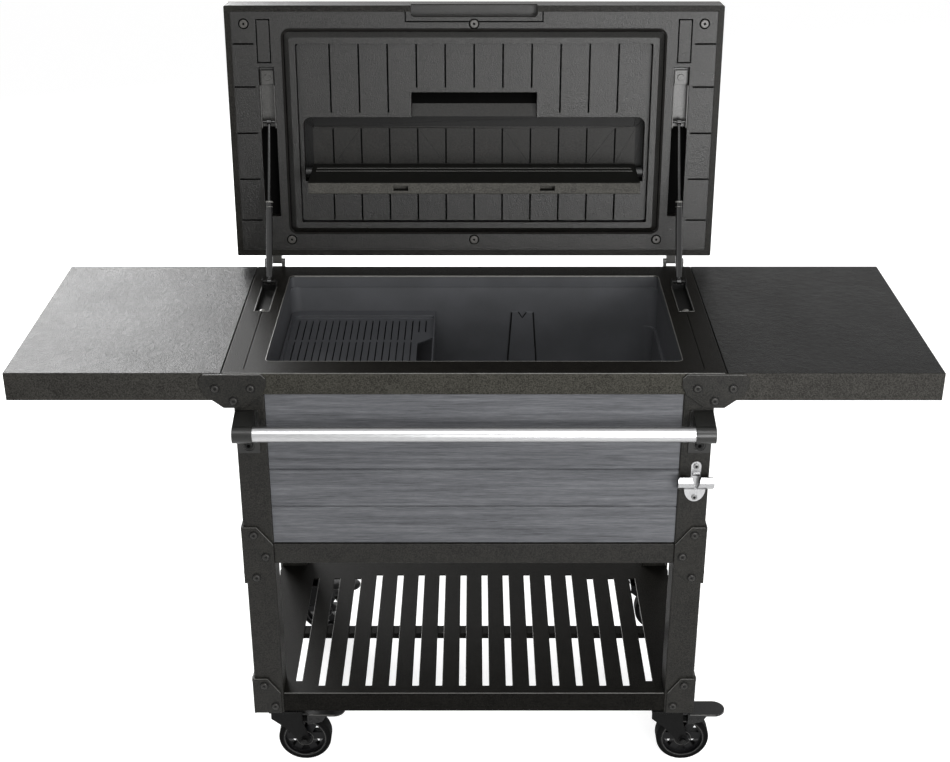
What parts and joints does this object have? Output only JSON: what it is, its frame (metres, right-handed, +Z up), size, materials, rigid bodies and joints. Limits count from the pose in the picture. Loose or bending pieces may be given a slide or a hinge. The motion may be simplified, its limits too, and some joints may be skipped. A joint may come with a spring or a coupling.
{
  "type": "outdoor cooler table",
  "caption": "Rolling insulated cooler cart with a hinged lid held by gas struts, fixed side tables, a slatted lower shelf and swivel casters.",
  "frame": {"origin": "middle of the bounding box on the floor", "axes": "+X to the object's left side as it faces its user, along the front; +Y to the back; +Z up"},
  "size_m": [1.6748, 0.6742, 1.4053],
  "materials": {
    "frame": "fine textured powder coat, dark brown-grey",
    "plank": "grey, fine lengthwise grain",
    "liner": "smooth matte",
    "foam": "rigid foam",
    "drain": "matte",
    "tray": "matte",
    "table_top": "satin powder coat",
    "bolt": "semi-gloss",
    "handle": "satin anodised",
    "handle_bracket": "textured",
    "opener": "satin",
    "screw": "plain steel",
    "caster_metal": "satin black",
    "bracket": "satin",
    "lid_shell": "fine textured powder coat",
    "lid_panel": "matte",
    "seal": "soft matte",
    "lid_screw": "dark plated",
    "lid_shelf": "matte",
    "shelf_end": "matte",
    "strut_tube": "satin",
    "strut_rod": "smooth black",
    "wheel": "semi-gloss",
    "tyre": "matte",
    "pedal": "satin"
  },
  "bodies": {
    "frame": {"post_front_left": "frame", "post_front_right": "frame", "post_rear_left": "frame", "post_rear_right": "frame", "deck_frame": "frame", "lower_rails": "frame", "shelf_rails": "frame", "shelf_panel": "frame", "front_planks": "plank", "side_planks": "plank", "rear_planks": "plank", "box_floor": "frame", "tub_liner": "liner", "tub_foam": "foam", "drain_outlet": "drain", "side_table_right": "table_top", "side_table_left": "table_top", "table_beams": "frame", "corner_plates": "frame", "corner_bolts": "bolt", "handle_tube": "handle", "handle_brackets": "handle_bracket", "handle_screws": "bolt", "bottle_opener": "opener", "opener_screws": "screw", "caster_mounts": "caster_metal", "strut_lower_brackets": "bracket", "hinge_bases": "bracket", "hinge_pins": "screw"},
    "lid": {"lid_shell": "lid_shell", "lid_inner_panel": "lid_panel", "lid_core": "foam", "lid_seal": "seal", "lid_screws": "lid_screw", "lid_hinge_leaves": "bracket", "strut_upper_brackets": "bracket"},
    "lid_shelf": {"lid_shelf": "lid_shelf", "lid_shelf_ends": "shelf_end"},
    "strut_tube_left": {"strut_tube_left": "strut_tube"},
    "strut_tube_right": {"strut_tube_right": "strut_tube"},
    "strut_rod_left": {"strut_rod_left": "strut_rod"},
    "strut_rod_right": {"strut_rod_right": "strut_rod"},
    "tray": {"tray": "tray"},
    "drain_cap": {"drain_cap": "drain"},
    "fork_front_left": {"caster_fork_front_left": "caster_metal"},
    "wheel_front_left": {"caster_wheel_front_left": "wheel", "caster_tyre_front_left": "tyre"},
    "pedal_front_left": {"caster_pedal_front_left": "pedal"},
    "fork_front_right": {"caster_fork_front_right": "caster_metal"},
    "wheel_front_right": {"caster_wheel_front_right": "wheel", "caster_tyre_front_right": "tyre"},
    "pedal_front_right": {"caster_pedal_front_right": "pedal"},
    "fork_rear_left": {"caster_fork_rear_left": "caster_metal"},
    "wheel_rear_left": {"caster_wheel_rear_left": "wheel", "caster_tyre_rear_left": "tyre"},
    "pedal_rear_left": {"caster_pedal_rear_left": "pedal"},
    "fork_rear_right": {"caster_fork_rear_right": "caster_metal"},
    "wheel_rear_right": {"caster_wheel_rear_right": "wheel", "caster_tyre_rear_right": "tyre"},
    "pedal_rear_right": {"caster_pedal_rear_right": "pedal"}
  },
  "joints": [
    {"name": "lid_hinge", "type": "hinge", "parent": "frame", "child": "lid", "pos_m": [0, 0.2514, 0.8835], "axis": [1, 0, 0], "range_deg": [0, 93.73]},
    {"name": "lid_shelf_fold", "type": "hinge", "parent": "lid", "child": "lid_shelf", "pos_m": [0, 0.26815, 1.07121], "axis": [1, 0, 0], "range_deg": [-93.74, 0]},
    {"name": "strut_pivot_left", "type": "hinge", "parent": "frame", "child": "strut_tube_left", "pos_m": [-0.412, 0.1359, 0.884], "axis": [1, 0, 0], "range_deg": [0, 114.85]},
    {"name": "strut_slide_left", "type": "slide", "parent": "strut_tube_left", "child": "strut_rod_left", "axis": [0, 0.4224, 0.9064], "range_m": [-0.14436, 0]},
    {"name": "strut_pivot_right", "type": "hinge", "parent": "frame", "child": "strut_tube_right", "pos_m": [0.412, 0.1359, 0.884], "axis": [1, 0, 0], "range_deg": [0, 114.85]},
    {"name": "strut_slide_right", "type": "slide", "parent": "strut_tube_right", "child": "strut_rod_right", "axis": [0, 0.4224, 0.9064], "range_m": [-0.14436, 0]},
    {"name": "tray_lift", "type": "slide", "parent": "frame", "child": "tray", "axis": [0, 0, 1], "range_m": [0, 0.18]},
    {"name": "drain_cap_unscrew", "type": "slide", "parent": "frame", "child": "drain_cap", "axis": [0, 0, -1], "range_m": [0, 0.03]},
    {"name": "swivel_front_left", "type": "hinge", "parent": "frame", "child": "fork_front_left", "pos_m": [-0.38, -0.2421, 0.1196], "axis": [0, 0, 1], "continuous": true},
    {"name": "wheel_spin_front_left", "type": "hinge", "parent": "fork_front_left", "child": "wheel_front_left", "pos_m": [-0.3405, -0.2421, 0.0525], "axis": [0, 1, 0], "continuous": true},
    {"name": "brake_pedal_front_left", "type": "hinge", "parent": "fork_front_left", "child": "pedal_front_left", "pos_m": [-0.35, -0.2421, 0.113], "axis": [0, 1, 0], "range_deg": [0, 10]},
    {"name": "swivel_front_right", "type": "hinge", "parent": "frame", "child": "fork_front_right", "pos_m": [0.38, -0.2421, 0.1196], "axis": [0, 0, 1], "continuous": true},
    {"name": "wheel_spin_front_right", "type": "hinge", "parent": "fork_front_right", "child": "wheel_front_right", "pos_m": [0.4195, -0.2421, 0.0525], "axis": [0, 1, 0], "continuous": true},
    {"name": "brake_pedal_front_right", "type": "hinge", "parent": "fork_front_right", "child": "pedal_front_right", "pos_m": [0.41, -0.2421, 0.113], "axis": [0, 1, 0], "range_deg": [0, 10]},
    {"name": "swivel_rear_left", "type": "hinge", "parent": "frame", "child": "fork_rear_left", "pos_m": [-0.38, 0.2109, 0.1196], "axis": [0, 0, 1], "continuous": true},
    {"name": "wheel_spin_rear_left", "type": "hinge", "parent": "fork_rear_left", "child": "wheel_rear_left", "pos_m": [-0.3405, 0.2109, 0.0525], "axis": [0, 1, 0], "continuous": true},
    {"name": "brake_pedal_rear_left", "type": "hinge", "parent": "fork_rear_left", "child": "pedal_rear_left", "pos_m": [-0.35, 0.2109, 0.113], "axis": [0, 1, 0], "range_deg": [0, 10]},
    {"name": "swivel_rear_right", "type": "hinge", "parent": "frame", "child": "fork_rear_right", "pos_m": [0.38, 0.2109, 0.1196], "axis": [0, 0, 1], "continuous": true},
    {"name": "wheel_spin_rear_right", "type": "hinge", "parent": "fork_rear_right", "child": "wheel_rear_right", "pos_m": [0.4195, 0.2109, 0.0525], "axis": [0, 1, 0], "continuous": true},
    {"name": "brake_pedal_rear_right", "type": "hinge", "parent": "fork_rear_right", "child": "pedal_rear_right", "pos_m": [0.41, 0.2109, 0.113], "axis": [0, 1, 0], "range_deg": [0, 10]}
  ],
  "couplings": [
    {"joint": "lid_shelf_fold", "follows": "lid_hinge", "ratio": -1},
    {"joint": "strut_pivot_left", "follows": "lid_hinge", "ratio": 1.2251},
    {"joint": "strut_slide_left", "follows": "lid_hinge", "m_per_rad": -0.088231},
    {"joint": "strut_pivot_right", "follows": "lid_hinge", "ratio": 1.2251},
    {"joint": "strut_slide_right", "follows": "lid_hinge", "m_per_rad": -0.088231}
  ]
}
